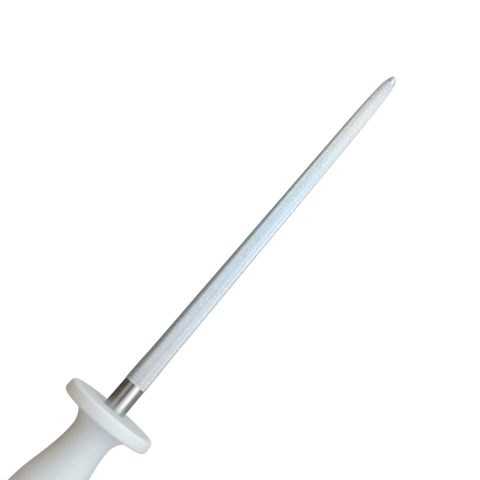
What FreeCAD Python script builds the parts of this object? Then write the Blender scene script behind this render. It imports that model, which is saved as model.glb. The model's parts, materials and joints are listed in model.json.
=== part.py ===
"""Butcher's sharpening steel: a round diamond-coated rod in a moulded white handle with a disc guard.

Units are millimetres. The tool lies along X with its tip at +X, and +Z is up. The origin is the centre
of the guard's front face, which the length of the rod is measured from. The ring at the butt hangs
straight down. Every piece is a solid of its own, written to parts/NAME.step.
"""

import FreeCAD
import Part
import math
import os

from FreeCAD import Vector

# ---------------------------------------------------------------- driving dimensions
ROD_LENGTH = 305.0  # guard face to tip, the trade's 12 inch size
SHANK_LENGTH = 14.4  # bare bar between the guard and the coating
SHANK_RADIUS = 5.8
BODY_RADIUS = 5.6  # under the coating, ground down so that the coating lies level with the shank
COAT_THICKNESS = 0.2  # electroplated diamond layer
LIP_HEIGHT = 0.2  # extra plating, built up where the coating starts
LIP_LENGTH = 9.0
LIP_FADE = 8.0  # length over which the lip runs out

GUARD_RADIUS = 24.4
GUARD_THICKNESS = 6.0
GUARD_EDGE = 1.6  # rounding of both rims
FLARE_RADIUS = 9.6  # hollow curve from the guard into the neck
NECK_RADIUS = 10.45
HANDLE_LENGTH = 130.0
BUTT_EDGE = 4.5

RING_WIRE = 1.5  # radius of the ring's wire
RING_RADIUS = 15.5  # to the middle of the wire

# ---------------------------------------------------------------- rod and tang
TIP_OGIVE = 62.0  # length over which the rod narrows to the tip
NOSE_LENGTH = 12.6  # bare polished end
NOSE_RADIUS = 4.52  # of the bar where the coating stops
NOSE_BULGE = 0.26  # how far the nose stands proud of a straight cone
NOSE_TAPER = 19.6  # degrees, where the nose meets its ball end
BALL_RADIUS = 2.83
COAT_CHAMFER = 0.12

TANG_RADIUS = 4.5
TANG_END = -92.0
TANG_CHAMFER = 1.2
SHOULDER_START = -26.0  # the shank narrows to the tang here
SHOULDER_END = -30.0
TANG_GROOVES = (-38.0, -46.0, -66.0, -84.0)  # middle of each locking groove
GROOVE_WIDTH = 3.0
GROOVE_DEPTH = 0.9

PIN_RADIUS = 1.5
PIN_X = -56.0
PIN_CHAMFER = 0.3

# ---------------------------------------------------------------- handle core, under the skin
CORE_OUTLINE = (  # (x, radius) of the inner moulding, front to back
    (-24.0, 7.2),
    (-34.0, 7.2),
    (-50.0, 11.0),
    (-76.0, 11.0),
    (-94.0, 9.2),
    (-106.0, 9.2),
)
CORE_GROOVES = ((-30.0, 7.2), (-62.0, 11.0), (-70.0, 11.0), (-100.0, 9.2))
CORE_GROOVE_WIDTH = 2.0
CORE_GROOVE_DEPTH = 0.8

# ---------------------------------------------------------------- grip outline, behind the neck
BELLY = (-48.0, 15.3)  # (x, radius) where the palm closes round the grip
WAIST = (-99.0, 13.0)  # (x, radius) at the little finger
HEEL_RADIUS = 14.5  # where the butt's rounding begins
BORE_CHAMFER = 0.25

# ---------------------------------------------------------------- butt plug and swivel
PLUG_RADIUS = 7.5
PLUG_LENGTH = 11.0
PLUG_FLANGE_RADIUS = 9.0
PLUG_FLANGE = 2.0
PLUG_EDGE = 0.4
SHAFT_RADIUS = 2.5
RUNNING_GAP = 0.05  # radial, shaft in plug
THRUST_GAP = 0.1  # under the collar
INNER_GAP = 0.15  # between the inner washer and the plug

OUTER_WASHER_RADIUS = 5.6
WASHER_THICKNESS = 1.0
COLLAR_RADIUS = 4.8
COLLAR_THICKNESS = 1.5
COLLAR_EDGE = 0.3
LUG_RADIUS = 5.3
LUG_THICKNESS = 4.6
LUG_OFFSET = 8.0  # butt face to the middle of the eye's hole
LUG_EDGE = 0.8
EYE_HOLE = 2.2
EYE_COUNTERSINK = 0.5
THREAD_RADIUS = 2.0
THREAD_LENGTH = 7.0
INNER_WASHER_RADIUS = 4.6
NUT_ACROSS_FLATS = 7.0
NUT_HEIGHT = 5.0
NUT_CHAMFER_DEGREES = 30.0
INSERT_HEIGHT = 1.4  # nylon locking ring in the nut
INSERT_RADIUS = 2.8

RING_SAG = 0.45  # the wire rests this far below the middle of its hole
WELD_RADIUS = 1.64  # bead where the ring's ends are welded
WELD_SPAN_DEGREES = 5.0

# ---------------------------------------------------------------- stations along the axis
COAT_RADIUS = BODY_RADIUS + COAT_THICKNESS
LIP_RADIUS = COAT_RADIUS + LIP_HEIGHT
LIP_END = SHANK_LENGTH + LIP_LENGTH
FADE_END = LIP_END + LIP_FADE
OGIVE_START = ROD_LENGTH - TIP_OGIVE
NOSE_START = ROD_LENGTH - NOSE_LENGTH
BALL_CENTRE = ROD_LENGTH - BALL_RADIUS
NECK_X = -GUARD_THICKNESS - FLARE_RADIUS
BUTT_X = -HANDLE_LENGTH
PLUG_FRONT = BUTT_X + PLUG_LENGTH
CORE_FRONT, CORE_BACK = CORE_OUTLINE[0][0], CORE_OUTLINE[-1][0]
EYE_X = BUTT_X - LUG_OFFSET
COLLAR_FRONT = BUTT_X - WASHER_THICKNESS - THRUST_GAP
SHAFT_SHOULDER = PLUG_FRONT + INNER_GAP
NUT_BACK = SHAFT_SHOULDER + WASHER_THICKNESS
NUT_FRONT = NUT_BACK + NUT_HEIGHT

X_AXIS = Vector(1, 0, 0)
Y_AXIS = Vector(0, 1, 0)
ORIGIN = Vector(0, 0, 0)


# ---------------------------------------------------------------- helpers
def at(x, radius):
    """A point of a turned outline, in the plane that holds the axis."""
    return Vector(x, 0, radius)


def turned(edges):
    """Solid made by turning a closed outline about the X axis."""
    wire = Part.Wire(Part.__sortEdges__(edges))
    return Part.Face(wire).revolve(ORIGIN, X_AXIS, 360)


def lines(*points):
    """Straight edges through (x, radius) points."""
    places = [at(*p) for p in points]
    return [Part.LineSegment(a, b).toShape() for a, b in zip(places, places[1:]) if a != b]


def corner(x, radius, rounding, before, after):
    """Quarter-round at a square corner, between the directions of travel before and after it."""
    tip = at(x, radius)
    start = tip - before * rounding
    end = tip + after * rounding
    middle = tip + (after - before) * (rounding * (1 - math.sqrt(0.5)))
    return Part.Arc(start, middle, end).toShape()


def drum(x_from, x_to, radius):
    """Cylinder on the axis between two stations."""
    low, high = sorted((x_from, x_to))
    return Part.makeCylinder(radius, high - low, Vector(low, 0, 0), X_AXIS)


def tube(x_from, x_to, outer, inner):
    return drum(x_from, x_to, outer).cut(drum(x_from, x_to, inner))


def groove(x, width, outer, depth):
    """Ring of material to take out of a bar of radius outer."""
    over = 1.0
    return tube(x - width / 2, x + width / 2, outer + over, outer - depth)


def ogive(radius_start, radius_end):
    """Arc that leaves the straight bar smoothly and reaches radius_end where the nose begins."""
    run = NOSE_START - OGIVE_START
    drop = radius_start - radius_end
    bend = (run**2 + drop**2) / (2 * drop)
    half = run / 2
    middle = radius_start - (bend - math.sqrt(bend**2 - half**2))
    return Part.Arc(
        at(OGIVE_START, radius_start), at(OGIVE_START + half, middle), at(NOSE_START, radius_end)
    ).toShape()


# ---------------------------------------------------------------- rod
def nose_edges():
    """Outline of the bare nose: a bulged cone from the end of the coating, and a ball at its point."""
    start = at(NOSE_START, NOSE_RADIUS)
    end = on_ball(NOSE_TAPER)
    middle = (start + end) / 2 + Vector(0, 0, NOSE_BULGE)
    side = Part.Arc(start, middle, end)
    ball = Part.Arc(end, on_ball((NOSE_TAPER + 90) / 2), at(ROD_LENGTH, 0))
    return [side.toShape(), ball.toShape()]


def on_ball(slope):
    """Point of the ball end where its outline slopes this many degrees from the axis."""
    turn = math.radians(slope)
    return at(BALL_CENTRE + BALL_RADIUS * math.sin(turn), BALL_RADIUS * math.cos(turn))


def steel_rod():
    """One bar: tang, bare shank, body under the coating, and polished nose."""
    profile = lines(
        (ROD_LENGTH, 0),
        (TANG_END, 0),
        (TANG_END, TANG_RADIUS - TANG_CHAMFER),
        (TANG_END + TANG_CHAMFER, TANG_RADIUS),
        (SHOULDER_END, TANG_RADIUS),
        (SHOULDER_START, SHANK_RADIUS),
        (SHANK_LENGTH, SHANK_RADIUS),
        (SHANK_LENGTH, BODY_RADIUS),
        (OGIVE_START, BODY_RADIUS),
    )
    bar = turned(profile + [ogive(BODY_RADIUS, NOSE_RADIUS)] + nose_edges())
    for x in TANG_GROOVES:
        bar = bar.cut(groove(x, GROOVE_WIDTH, TANG_RADIUS, GROOVE_DEPTH))
    return bar.cut(pin_hole())


def diamond_coating():
    """Thin sleeve of plated grit from the shank to the nose, thicker for a short way where it starts."""
    inside = lines((OGIVE_START, BODY_RADIUS), (SHANK_LENGTH, BODY_RADIUS))
    outside = lines(
        (SHANK_LENGTH, BODY_RADIUS),
        (SHANK_LENGTH, LIP_RADIUS - COAT_CHAMFER),
        (SHANK_LENGTH + COAT_CHAMFER, LIP_RADIUS),
        (LIP_END, LIP_RADIUS),
        (FADE_END, COAT_RADIUS),
        (OGIVE_START, COAT_RADIUS),
    )
    end = lines((NOSE_START, NOSE_RADIUS + COAT_THICKNESS), (NOSE_START, NOSE_RADIUS))
    curves = [ogive(BODY_RADIUS, NOSE_RADIUS), ogive(COAT_RADIUS, NOSE_RADIUS + COAT_THICKNESS)]
    return turned(inside + outside + end + curves)


# ---------------------------------------------------------------- handle
def guard_edges():
    """Outline of the disc guard and of the flare that runs from its back into the neck."""
    outward, inward, back = Vector(0, 0, 1), Vector(0, 0, -1), Vector(-1, 0, 0)
    rim_back = -GUARD_THICKNESS
    flare_root = NECK_RADIUS + FLARE_RADIUS
    flare = corner(rim_back, NECK_RADIUS, FLARE_RADIUS, inward, back)
    bore = SHANK_RADIUS + BORE_CHAMFER
    return [
        *lines((-BORE_CHAMFER, SHANK_RADIUS), (0, bore), (0, GUARD_RADIUS - GUARD_EDGE)),
        corner(0, GUARD_RADIUS, GUARD_EDGE, outward, back),
        *lines((-GUARD_EDGE, GUARD_RADIUS), (rim_back + GUARD_EDGE, GUARD_RADIUS)),
        corner(rim_back, GUARD_RADIUS, GUARD_EDGE, back, inward),
        *lines((rim_back, GUARD_RADIUS - GUARD_EDGE), (rim_back, flare_root)),
        flare,
    ]


def grip_edges():
    """Grip, level with the axis at neck, belly, waist and heel, and the rounded butt."""
    back = Vector(-1, 0, 0)
    stations = [(NECK_X, NECK_RADIUS), BELLY, WAIST, (BUTT_X + BUTT_EDGE, HEEL_RADIUS)]
    curve = Part.BSplineCurve()
    curve.interpolate(
        Points=[at(*s) for s in stations],
        Tangents=[back] * len(stations),
        TangentFlags=[True] * len(stations),
    )
    butt = corner(BUTT_X, HEEL_RADIUS, BUTT_EDGE, back, Vector(0, 0, -1))
    return [curve.toShape(), butt]


def core_envelope():
    """Outside of the inner moulding, with the grooves that key the skin to it."""
    solid = turned(lines((CORE_FRONT, 0), *CORE_OUTLINE, (CORE_BACK, 0), (CORE_FRONT, 0)))
    for x, radius in CORE_GROOVES:
        solid = solid.cut(groove(x, CORE_GROOVE_WIDTH, radius, CORE_GROOVE_DEPTH))
    return solid


def handle_grip():
    """White skin with its guard, moulded over the core and hollow at the butt for the plug."""
    closing = lines(
        (BUTT_X, HEEL_RADIUS - BUTT_EDGE),
        (BUTT_X, PLUG_FLANGE_RADIUS),
        (BUTT_X + PLUG_FLANGE, PLUG_FLANGE_RADIUS),
        (BUTT_X + PLUG_FLANGE, PLUG_RADIUS),
        (CORE_BACK, PLUG_RADIUS),
        (CORE_BACK, SHANK_RADIUS),
        (-BORE_CHAMFER, SHANK_RADIUS),
    )
    return turned(guard_edges() + grip_edges() + closing).cut(core_envelope())


def handle_core(rod):
    """Rigid inner moulding that holds the tang."""
    return core_envelope().cut(rod).cut(pin_hole())


def pin_hole():
    reach = 2 * CORE_OUTLINE[2][1]
    return Part.makeCylinder(PIN_RADIUS, 2 * reach, Vector(PIN_X, -reach, 0), Y_AXIS)


def tang_pin():
    """Dowel across the core and the tang, flush with the core."""
    half = CORE_OUTLINE[2][1] - PIN_CHAMFER
    pin = Part.makeCylinder(PIN_RADIUS, 2 * half, Vector(PIN_X, -half, 0), Y_AXIS)
    ends = [e for e in pin.Edges if abs(abs(e.CenterOfMass.y) - half) < 1e-6]
    return pin.makeChamfer(PIN_CHAMFER, ends)


# ---------------------------------------------------------------- butt plug and swivel
def butt_plug():
    """Flanged plug that closes the handle and is the swivel's bearing."""
    bore = SHAFT_RADIUS + RUNNING_GAP
    return turned(
        lines(
            (PLUG_FRONT, bore),
            (PLUG_FRONT, PLUG_RADIUS - PLUG_EDGE),
            (PLUG_FRONT - PLUG_EDGE, PLUG_RADIUS),
            (BUTT_X + PLUG_FLANGE, PLUG_RADIUS),
            (BUTT_X + PLUG_FLANGE, PLUG_FLANGE_RADIUS),
            (BUTT_X, PLUG_FLANGE_RADIUS),
            (BUTT_X, bore),
            (PLUG_FRONT, bore),
        )
    )


def thrust_washer():
    """Washer between the plug and the collar of the eye."""
    bore = SHAFT_RADIUS + RUNNING_GAP
    return tube(BUTT_X - WASHER_THICKNESS, BUTT_X, OUTER_WASHER_RADIUS, bore)


def swivel_eye():
    """Shaft, collar and flat eye in one forging; the ring's wire runs through the eye along Y."""
    collar_back = COLLAR_FRONT - COLLAR_THICKNESS
    stem = turned(
        lines(
            (collar_back, 0),
            (collar_back, COLLAR_RADIUS - COLLAR_EDGE),
            (collar_back + COLLAR_EDGE, COLLAR_RADIUS),
            (COLLAR_FRONT - COLLAR_EDGE, COLLAR_RADIUS),
            (COLLAR_FRONT, COLLAR_RADIUS - COLLAR_EDGE),
            (COLLAR_FRONT, SHAFT_RADIUS),
            (SHAFT_SHOULDER, SHAFT_RADIUS),
            (SHAFT_SHOULDER, THREAD_RADIUS),
            (SHAFT_SHOULDER + THREAD_LENGTH, THREAD_RADIUS),
            (SHAFT_SHOULDER + THREAD_LENGTH, 0),
            (collar_back, 0),
        )
    )
    half = LUG_THICKNESS / 2
    lug = Part.makeCylinder(LUG_RADIUS, LUG_THICKNESS, Vector(EYE_X, -half, 0), Y_AXIS)
    rims = [e for e in lug.Edges if abs(abs(e.CenterOfMass.y) - half) < 1e-6]
    lug = lug.makeFillet(LUG_EDGE, rims)
    neck_half = COLLAR_RADIUS * 0.8
    neck = Part.makeBox(
        collar_back - EYE_X, LUG_THICKNESS - 2 * LUG_EDGE, 2 * neck_half,
        Vector(EYE_X, -half + LUG_EDGE, -neck_half),
    )
    eye = stem.fuse([lug, neck]).removeSplitter()
    hole = Part.makeCylinder(EYE_HOLE, 2 * LUG_THICKNESS, Vector(EYE_X, -LUG_THICKNESS, 0), Y_AXIS)
    eye = eye.cut(hole)
    for side in (1, -1):
        sink = Part.makeCone(
            EYE_HOLE, EYE_HOLE + 2 * EYE_COUNTERSINK, 2 * EYE_COUNTERSINK,
            Vector(EYE_X, side * (half - EYE_COUNTERSINK), 0), Y_AXIS * side,
        )
        eye = eye.cut(sink)
    return eye


def inner_washer():
    return tube(SHAFT_SHOULDER, NUT_BACK, INNER_WASHER_RADIUS, THREAD_RADIUS)


def nut_insert():
    """Nylon ring that grips the thread."""
    return tube(NUT_FRONT - INSERT_HEIGHT, NUT_FRONT, INSERT_RADIUS, THREAD_RADIUS)


def lock_nut():
    """Hexagon nut with chamfered corners and a pocket for its nylon ring."""
    corner_radius = NUT_ACROSS_FLATS / math.sqrt(3)
    turns = [math.radians(60 * k) for k in range(7)]
    points = [
        Vector(NUT_BACK, corner_radius * math.sin(a), corner_radius * math.cos(a)) for a in turns
    ]
    hexagon = Part.Face(Part.makePolygon(points)).extrude(Vector(NUT_HEIGHT, 0, 0))
    flat = NUT_ACROSS_FLATS / 2
    rise = (corner_radius - flat) * math.tan(math.radians(NUT_CHAMFER_DEGREES))
    over = 1.0
    chamfered = turned(
        lines(
            (NUT_BACK - over, 0),
            (NUT_BACK - over, corner_radius + over),
            (NUT_FRONT - rise, corner_radius + over),
            (NUT_FRONT - rise, corner_radius),
            (NUT_FRONT, flat),
            (NUT_FRONT + over, flat),
            (NUT_FRONT + over, 0),
            (NUT_BACK - over, 0),
        )
    )
    nut = hexagon.common(chamfered).cut(drum(NUT_BACK - over, NUT_FRONT + over, THREAD_RADIUS))
    return nut.cut(nut_insert())


def hanging_ring():
    """Welded wire ring, hanging from the eye across the tool's axis."""
    centre = Vector(EYE_X, 0, -(RING_RADIUS + RING_SAG))
    ring = Part.makeTorus(RING_RADIUS, RING_WIRE, centre, X_AXIS)
    bead = Part.makeTorus(
        RING_RADIUS, WELD_RADIUS, centre, X_AXIS, 0, 360, WELD_SPAN_DEGREES
    )
    return ring.fuse(bead).removeSplitter()


def main():
    rod = steel_rod()
    parts = {
        "steel_rod": rod,
        "diamond_coating": diamond_coating(),
        "handle_grip": handle_grip(),
        "handle_core": handle_core(rod),
        "tang_pin": tang_pin(),
        "butt_plug": butt_plug(),
        "thrust_washer": thrust_washer(),
        "swivel_eye": swivel_eye(),
        "inner_washer": inner_washer(),
        "lock_nut": lock_nut(),
        "nut_insert": nut_insert(),
        "hanging_ring": hanging_ring(),
    }
    os.makedirs("parts", exist_ok=True)
    for name, shape in parts.items():
        solids = shape.Solids
        if not shape.isValid() or not solids:
            raise ValueError(f"{name} is not a valid solid")
        out = solids[0] if len(solids) == 1 else Part.makeCompound(solids)
        out.exportStep(f"parts/{name}.step")
        print(f"{name}: {len(solids)} solid, {out.Volume / 1000:.2f} cm3")


main()
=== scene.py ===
"""Looks of the sharpening steel: materials, floor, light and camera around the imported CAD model."""

import json
import math

import bpy
from mathutils import Matrix, Vector


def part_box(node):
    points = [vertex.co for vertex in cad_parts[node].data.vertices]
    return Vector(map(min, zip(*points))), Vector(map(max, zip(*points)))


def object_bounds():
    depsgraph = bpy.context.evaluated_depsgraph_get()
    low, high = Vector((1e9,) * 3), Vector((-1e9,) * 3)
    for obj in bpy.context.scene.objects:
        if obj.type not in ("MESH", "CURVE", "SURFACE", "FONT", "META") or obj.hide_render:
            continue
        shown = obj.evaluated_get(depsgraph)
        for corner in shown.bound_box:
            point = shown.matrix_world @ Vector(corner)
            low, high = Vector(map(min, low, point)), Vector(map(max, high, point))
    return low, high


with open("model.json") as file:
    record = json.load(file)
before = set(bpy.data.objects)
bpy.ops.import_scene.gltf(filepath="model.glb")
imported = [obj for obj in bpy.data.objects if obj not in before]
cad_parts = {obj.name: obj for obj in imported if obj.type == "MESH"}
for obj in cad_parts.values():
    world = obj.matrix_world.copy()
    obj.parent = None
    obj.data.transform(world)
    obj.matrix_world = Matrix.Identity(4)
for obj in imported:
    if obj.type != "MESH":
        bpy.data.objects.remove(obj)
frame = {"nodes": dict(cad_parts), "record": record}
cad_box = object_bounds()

MM = 0.001
COAT_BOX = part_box("diamond_coating")

# ---------------------------------------------------------------- camera
# The tool points away from the camera, up and to the right.
CAMERA_TILT = math.radians(22.2)  # of the tool's axis, away from the picture plane
CAMERA_ROLL = math.radians(49.53)  # of the tool's axis, up from the picture's horizontal
CAMERA_PLACE = Vector((0.0177, 0.0022, 0.1973))
CAMERA_SHIFT = (0.0120, 0.0448)
SENSOR = 36.0
LENS = 27.695

# ---------------------------------------------------------------- floor and backdrop
FLOOR_SIZE = 60.0
FLOOR_DROP = 0.16  # below the lowest point of the tool
FLOOR_GLOW = 0.30  # makes up for the light that a floor in a dim studio lacks
BACKDROP = (0.985, 0.985, 0.985, 1)  # what the camera sees past the floor

# ---------------------------------------------------------------- studio
# Light from all round the tool's axis: degrees from straight up, towards -Y, and its colour.
SIDES = (
    (-180, (0.45, 0.45, 0.44)),
    (-168, (0.28, 0.28, 0.27)),
    (-158, (0.070, 0.066, 0.054)),
    (-125, (0.056, 0.050, 0.038)),
    (-104, (0.108, 0.100, 0.078)),
    (-86, (0.110, 0.100, 0.072)),
    (-71, (0.098, 0.086, 0.060)),
    (-57, (0.26, 0.22, 0.17)),
    (-46, (0.47, 0.43, 0.37)),
    (-34, (0.44, 0.41, 0.37)),
    (-21, (0.25, 0.235, 0.21)),
    (-10, (0.135, 0.135, 0.138)),
    (-2, (0.20, 0.205, 0.22)),
    (6, (0.37, 0.39, 0.41)),
    (16, (0.70, 0.73, 0.76)),
    (28, (1.12, 1.16, 1.20)),
    (38, (1.38, 1.42, 1.45)),
    (56, (1.42, 1.46, 1.48)),
    (66, (0.92, 0.94, 0.95)),
    (76, (0.46, 0.47, 0.47)),
    (90, (0.31, 0.31, 0.31)),
    (118, (0.25, 0.25, 0.245)),
    (146, (0.20, 0.20, 0.195)),
    (158, (0.17, 0.17, 0.165)),
    (168, (0.28, 0.28, 0.27)),
    (180, (0.45, 0.45, 0.44)),
)
# The same for light that comes from beyond the tip.
FRONT = (
    (-180, (0.62, 0.61, 0.59)),
    (-112, (0.48, 0.48, 0.485)),
    (-62, (0.52, 0.525, 0.54)),
    (-32, (0.76, 0.77, 0.79)),
    (-8, (1.22, 1.25, 1.29)),
    (30, (1.55, 1.58, 1.61)),
    (70, (1.08, 1.10, 1.10)),
    (110, (0.78, 0.80, 0.80)),
    (180, (0.62, 0.61, 0.59)),
)
BACK = (0.46, 0.43, 0.40)  # light from behind the handle's end
# Part of a direction that points to the tip, where FRONT and BACK start to show and where they
# have replaced SIDES.
FRONT_FROM, FRONT_FULL = 0.70, 0.90
BACK_FROM, BACK_FULL = -0.78, -0.95
BRIGHTEST = max(max(colour) for _, colour in SIDES + FRONT)

# Sun lamps: degrees round the axis as above, degrees towards the tip, how many degrees the lamp
# spreads over, its strength and colour. The body lamps give dull light to all but the coating, and
# under_fill shows on the underside alone, which the photograph's view doesn't include. The coating
# lamps light the coating alone and shine in it too.
BODY_LAMPS = (
    ("key_fill", 2, 25, 80, 0.68, (0.86, 1.0, 0.98)),
    ("warm_bounce", -104, -10, 90, 0.62, (1.0, 0.54, 0.15)),
    ("under_fill", -164, -20, 20, 1.9, (0.80, 0.92, 1.0)),
    ("tip_fill", 60, 105, 60, 0.64, (0.92, 0.94, 1.0)),
)
COATING_LAMPS = (
    ("rod_edge", -63, 10, 28, 0.21, (1.0, 1.0, 1.0)),
    ("rod_left", -35, 10, 30, 0.262, (0.886, 0.933, 1.0)),
    ("rod_top", -6, 10, 30, 0.333, (0.923, 0.952, 1.0)),
    ("rod_right", 105, 8, 60, 1.06, (1.0, 0.99, 0.96)),
    ("rod_edge_far", -70, 38, 30, 0.30, (1.0, 0.97, 0.90)),
    ("rod_left_far", -30, 45, 40, 0.15, (1.0, 0.97, 0.90)),
    ("rod_top_far", -5, 45, 30, 0.14, (1.0, 1.0, 1.0)),
    ("rod_right_far", 105, 48, 42, 0.31, (1.0, 0.99, 0.97)),
)

# ---------------------------------------------------------------- coating
# Colour along the coating, cooler half way and darker towards both ends: part of its length from the
# handle, and the colour.
COAT_TONES = (
    (0.0, (0.56, 0.58, 0.60)),
    (0.45, (0.62, 0.77, 0.88)),
    (0.80, (0.73, 0.76, 0.75)),
    (0.94, (0.66, 0.69, 0.73)),
    (1.0, (0.56, 0.59, 0.67)),
)
# A pale band is painted round the coating where it starts by the guard. It is a painted highlight of
# the light that the plating's edge catches, full up to the first of these and gone at the second.
EDGE_HIGHLIGHT_BAND = (0.3 * MM, 0.6 * MM)

# ---------------------------------------------------------------- node helpers
# Places of a Mix node's sockets when it mixes colours; its float and vector sockets lie between.
MIX_FACTOR, MIX_A, MIX_B, MIX_RESULT = 0, 6, 7, 2


class Shader:
    """A node tree with short ways to add and link nodes."""

    def __init__(self, owner):
        owner.use_nodes = True
        self.tree = owner.node_tree
        self.nodes = self.tree.nodes

    def put(self, socket, value):
        """Links a node's output to a socket, or sets a constant on it."""
        if isinstance(value, bpy.types.NodeSocket):
            self.tree.links.new(value, socket)
        else:
            socket.default_value = value

    def add(self, kind, inputs=None, **settings):
        node = self.nodes.new(kind)
        for key, value in settings.items():
            setattr(node, key, value)
        for name, value in (inputs or {}).items():
            self.put(node.inputs[name], value)
        return node

    def place(self, stretch=(1, 1, 1)):
        """Position on the piece in metres, multiplied by stretch."""
        coords = self.add("ShaderNodeTexCoord").outputs["Object"]
        return self.add("ShaderNodeMapping", {"Vector": coords, "Scale": stretch}).outputs["Vector"]

    def noise(self, scale, detail=2.0, stretch=(1, 1, 1), rough=0.5):
        inputs = {
            "Vector": self.place(stretch),
            "Scale": scale,
            "Detail": detail,
            "Roughness": rough,
        }
        return self.add("ShaderNodeTexNoise", inputs).outputs["Fac"]

    def grains(self, scale):
        """A random value for each cell of a Voronoi pattern."""
        inputs = {"Vector": self.place(), "Scale": scale}
        colour = self.add("ShaderNodeTexVoronoi", inputs).outputs["Color"]
        return self.add("ShaderNodeSeparateColor", {"Color": colour}).outputs["Red"]

    def ramp(self, fac, stops, ease="LINEAR"):
        node = self.add("ShaderNodeValToRGB", {"Fac": fac})
        node.color_ramp.interpolation = ease
        elements = node.color_ramp.elements
        while len(elements) > 1:
            elements.remove(elements[0])
        for i, (place, colour) in enumerate(stops):
            element = elements[0] if i == 0 else elements.new(place)
            element.position = place
            element.color = (*colour, 1)
        return node.outputs["Color"]

    def fit(self, value, low, high, from_low=0.0, from_high=1.0):
        """Value carried from one range to another and held inside it."""
        inputs = {
            "Value": value,
            "From Min": from_low,
            "From Max": from_high,
            "To Min": low,
            "To Max": high,
        }
        return self.add("ShaderNodeMapRange", inputs).outputs["Result"]

    def maths(self, how, a, b):
        return self.add("ShaderNodeMath", {0: a, 1: b}, operation=how).outputs[0]

    def mix(self, fac, a, b):
        """Colour a where fac is 0 and b where it is 1. Each is an output or a red-green-blue."""
        a, b = ((*c, 1) if isinstance(c, tuple) else c for c in (a, b))
        inputs = {MIX_FACTOR: fac, MIX_A: a, MIX_B: b}
        return self.add("ShaderNodeMix", inputs, data_type="RGBA").outputs[MIX_RESULT]

    def bump(self, height, distance, under=None):
        """Normal raised by height over the relief under it, if there is one."""
        inputs = {"Height": height, "Distance": distance}
        if under is not None:
            inputs["Normal"] = under
        return self.add("ShaderNodeBump", inputs).outputs["Normal"]

    def finish(self, **inputs):
        """Sets the main shader's sockets, by name with underscores for spaces."""
        sockets = self.nodes["Principled BSDF"].inputs
        for name, value in inputs.items():
            self.put(sockets[name.replace("_", " ")], value)


def material(name):
    made = bpy.data.materials.new(name)
    return made, Shader(made)


# ---------------------------------------------------------------- materials
def polished_steel():
    """Hard chrome on ground bar: mirror bright, with faint rings left by the grinding."""
    made, s = material("polished_steel")
    rings = s.noise(900, detail=3, stretch=(3.0, 0.12, 0.12), rough=0.6)
    haze = s.noise(60, detail=3)
    s.finish(
        Base_Color=s.mix(haze, (0.67, 0.67, 0.665), (0.73, 0.73, 0.73)),
        Metallic=1.0,
        Roughness=s.fit(rings, 0.14, 0.21, from_low=0.3, from_high=0.7),
        Anisotropic=1.0,
        Anisotropic_Rotation=0.25,
        Tangent=s.add("ShaderNodeTangent", direction_type="RADIAL", axis="X").outputs[0],
        Normal=s.bump(rings, 0.003 * MM),
    )
    return made


def diamond_grit():
    """Diamond grains held in dull nickel, a little cooler half way along the rod."""
    made, s = material("diamond_grit")
    grain = s.noise(2600, detail=3, rough=0.75)
    fine = s.noise(7000, detail=1)
    patches = s.noise(160, detail=3)
    mottle = s.noise(1000)
    crystals = s.grains(2400)
    along = s.add("ShaderNodeSeparateXYZ", {"Vector": s.place()}).outputs["X"]
    start, end = COAT_BOX[0][0], COAT_BOX[1][0]
    # Painted highlight: a pale band round the coating's start by the guard.
    edge = s.fit(along, 1.0, 0.0, from_low=start + EDGE_HIGHLIGHT_BAND[0], from_high=start + EDGE_HIGHLIGHT_BAND[1])
    base = s.ramp(s.fit(along, 0.0, 1.0, from_low=start, from_high=end), COAT_TONES)
    layers = (  # where each tint lies, and the tint, from the lowest up
        (s.fit(grain, 0.0, 0.34, from_low=0.42, from_high=0.30), (0.40, 0.42, 0.44)),
        (s.fit(patches, 0.0, 0.22, from_low=0.45, from_high=0.7), (0.55, 0.58, 0.62)),
        (s.fit(mottle, 0.0, 0.20, from_low=0.50, from_high=0.70), (0.44, 0.46, 0.50)),
        (s.fit(crystals, 0.0, 0.4, from_low=0.86, from_high=0.98), (0.95, 0.96, 0.97)),
        (edge, (0.80, 0.80, 0.78)),
    )
    for where, tint in layers:
        base = s.mix(where, base, tint)
    relief = s.bump(grain, 0.04 * MM, under=s.bump(fine, 0.02 * MM))
    s.finish(
        Base_Color=base,
        Metallic=0.6,
        Diffuse_Roughness=0.25,
        Roughness=s.fit(crystals, 0.22, 0.50),
        Normal=s.bump(mottle, 0.03 * MM, under=relief),
    )
    return made


def white_plastic():
    """Polypropylene, slightly translucent, with a satin skin and light scuffs."""
    made, s = material("white_plastic")
    clouds = s.noise(38, detail=3)
    skin = s.noise(2600)
    scuffs = s.noise(240, detail=5, stretch=(1.0, 0.16, 0.16), rough=0.65)
    s.finish(
        Base_Color=s.mix(clouds, (0.79, 0.825, 0.86), (0.83, 0.87, 0.905)),
        Roughness=s.fit(scuffs, 0.50, 0.66, from_low=0.4, from_high=0.7),
        Subsurface_Weight=1.0,
        Subsurface_Radius=(1.0, 0.85, 0.7),
        Subsurface_Scale=3.5 * MM,
        IOR=1.49,
        Normal=s.bump(skin, 0.006 * MM, under=s.bump(scuffs, 0.01 * MM)),
    )
    return made


def core_plastic():
    """Grey moulding under the handle's skin, streaked along its flow."""
    made, s = material("core_plastic")
    flow = s.noise(120, detail=4, stretch=(0.4, 1, 1))
    s.finish(
        Base_Color=s.mix(flow, (0.50, 0.52, 0.53), (0.60, 0.62, 0.63)),
        Roughness=0.55,
        Normal=s.bump(s.noise(1800), 0.01 * MM),
    )
    return made


def plated_steel():
    """Bright nickel over drawn wire and forged parts."""
    made, s = material("plated_steel")
    waves = s.noise(420, detail=3)
    haze = s.noise(90, detail=4)
    s.finish(
        Base_Color=s.mix(haze, (0.58, 0.56, 0.52), (0.68, 0.66, 0.62)),
        Metallic=1.0,
        Roughness=s.fit(haze, 0.12, 0.30, from_low=0.35, from_high=0.7),
        Normal=s.bump(waves, 0.006 * MM),
    )
    return made


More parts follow.
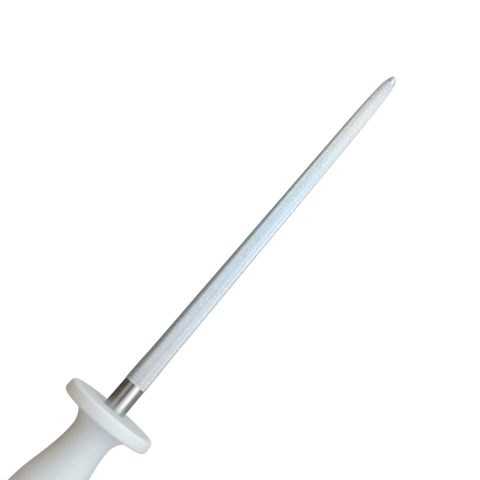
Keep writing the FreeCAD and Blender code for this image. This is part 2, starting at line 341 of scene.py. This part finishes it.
def plain_steel():
    """Turned steel, not plated."""
    made, s = material("plain_steel")
    turning = s.noise(1500, detail=3, stretch=(4.0, 0.3, 0.3))
    s.finish(
        Base_Color=s.mix(turning, (0.36, 0.36, 0.37), (0.52, 0.52, 0.53)),
        Metallic=1.0,
        Roughness=s.fit(turning, 0.25, 0.45),
        Normal=s.bump(turning, 0.01 * MM),
    )
    return made


def nylon():
    """Blue nylon of the lock nut's ring."""
    made, s = material("nylon")
    mottle = s.noise(700, detail=3)
    s.finish(
        Base_Color=s.mix(mottle, (0.10, 0.20, 0.50), (0.16, 0.28, 0.60)),
        Roughness=0.42,
        Subsurface_Weight=0.2,
        Subsurface_Scale=0.5 * MM,
        Normal=s.bump(mottle, 0.01 * MM),
    )
    return made


MAKERS = (
    polished_steel,
    diamond_grit,
    white_plastic,
    core_plastic,
    plated_steel,
    plain_steel,
    nylon,
)


def paint_nodes():
    """Gives each CAD node the material of its record slot."""
    made = {maker.__name__: maker() for maker in MAKERS}
    for entry in frame["record"]["subparts"]:
        mesh = frame["nodes"][entry["node"]].data
        mesh.materials.clear()
        mesh.materials.append(made[entry["material_slot"]])


# ---------------------------------------------------------------- studio
def add_floor():
    """Pale floor. The camera sees it, but it sends no light back to the tool."""
    made, s = material("floor")
    s.finish(
        Base_Color=s.mix(s.noise(3), (0.90, 0.90, 0.90), (0.92, 0.92, 0.92)),
        Roughness=0.9,
        Emission_Color=(1.0, 1.0, 1.0, 1),
        Emission_Strength=FLOOR_GLOW,
    )
    level = cad_box[0][2] - FLOOR_DROP
    bpy.ops.mesh.primitive_plane_add(size=FLOOR_SIZE, location=(0, 0, level))
    floor = bpy.context.object
    floor.name = "floor"
    floor.data.materials.append(made)
    floor.visible_diffuse = False
    floor.visible_glossy = False


def dimmed(colour):
    """A light's colour with no part above 1, as a colour ramp needs."""
    return tuple(part / BRIGHTEST for part in colour)


def add_studio():
    """Soft light that changes round the tool's axis and along it, and a backdrop for the camera."""
    world = bpy.data.worlds.new("studio")
    bpy.context.scene.world = world
    s = Shader(world)
    direction = s.add("ShaderNodeTexCoord").outputs["Generated"]
    parts = s.add("ShaderNodeSeparateXYZ", {"Vector": direction}).outputs
    angle = s.maths("ARCTAN2", s.maths("MULTIPLY", parts["Y"], -1.0), parts["Z"])
    turn = s.fit(angle, 0.0, 1.0, from_low=-math.pi, from_high=math.pi)

    def ring(lights, ease):
        stops = [((degrees + 180) / 360, dimmed(colour)) for degrees, colour in lights]
        return s.ramp(turn, stops, ease)

    front = s.fit(parts["X"], 0.0, 1.0, from_low=FRONT_FROM, from_high=FRONT_FULL)
    back = s.fit(parts["X"], 0.0, 1.0, from_low=BACK_FROM, from_high=BACK_FULL)
    colour = s.mix(front, ring(SIDES, "LINEAR"), ring(FRONT, "EASE"))
    around = s.nodes["Background"]
    s.put(around.inputs["Color"], s.mix(back, colour, dimmed(BACK)))
    s.put(around.inputs["Strength"], BRIGHTEST)
    seen = s.add("ShaderNodeBackground", {"Color": BACKDROP})
    to_camera = s.add("ShaderNodeLightPath").outputs["Is Camera Ray"]
    mix = s.add("ShaderNodeMixShader", {0: to_camera, 1: around.outputs[0], 2: seen.outputs[0]})
    s.put(s.nodes["World Output"].inputs["Surface"], mix.outputs[0])
    bpy.context.scene.view_settings.view_transform = "Standard"


def add_lamp(name, turn, lean, spread, power, colour, for_coating):
    """A sun lamp that lights the coating alone, or everything else without shining in it."""
    data = bpy.data.lights.new(name, "SUN")
    data.angle = math.radians(spread)
    data.energy = power
    data.color = colour
    lamp = bpy.data.objects.new(name, data)
    turn, lean = math.radians(turn), math.radians(lean)
    sideways, upwards = -math.sin(turn), math.cos(turn)
    source = Vector((math.sin(lean), sideways * math.cos(lean), upwards * math.cos(lean)))
    lamp.rotation_euler = source.to_track_quat("Z", "Y").to_euler()
    lamp.visible_glossy = for_coating
    lit = bpy.data.collections.new(name + "_lit")
    lit.objects.link(frame["nodes"]["diamond_coating"])
    lit.collection_objects[0].light_linking.link_state = "INCLUDE" if for_coating else "EXCLUDE"
    lamp.light_linking.receiver_collection = lit
    bpy.context.scene.collection.objects.link(lamp)


def add_camera():
    """Camera above the shank, turned so that the tool lies as it does in the photograph."""
    away = Vector((math.sin(CAMERA_TILT), 0, -math.cos(CAMERA_TILT)))
    along = Vector((math.cos(CAMERA_TILT), 0, math.sin(CAMERA_TILT)))
    side = Vector((0, 1, 0))
    right = along * math.cos(CAMERA_ROLL) - side * math.sin(CAMERA_ROLL)
    up = along * math.sin(CAMERA_ROLL) + side * math.cos(CAMERA_ROLL)
    data = bpy.data.cameras.new("camera")
    data.lens = LENS
    data.sensor_width = SENSOR
    data.shift_x, data.shift_y = CAMERA_SHIFT
    camera = bpy.data.objects.new("camera", data)
    turn = Matrix((right, up, -away)).transposed()
    camera.matrix_world = Matrix.Translation(CAMERA_PLACE) @ turn.to_4x4()
    bpy.context.scene.collection.objects.link(camera)
    bpy.context.scene.camera = camera


paint_nodes()
add_floor()
add_studio()
for lamp in BODY_LAMPS:
    add_lamp(*lamp, for_coating=False)
for lamp in COATING_LAMPS:
    add_lamp(*lamp, for_coating=True)
add_camera()
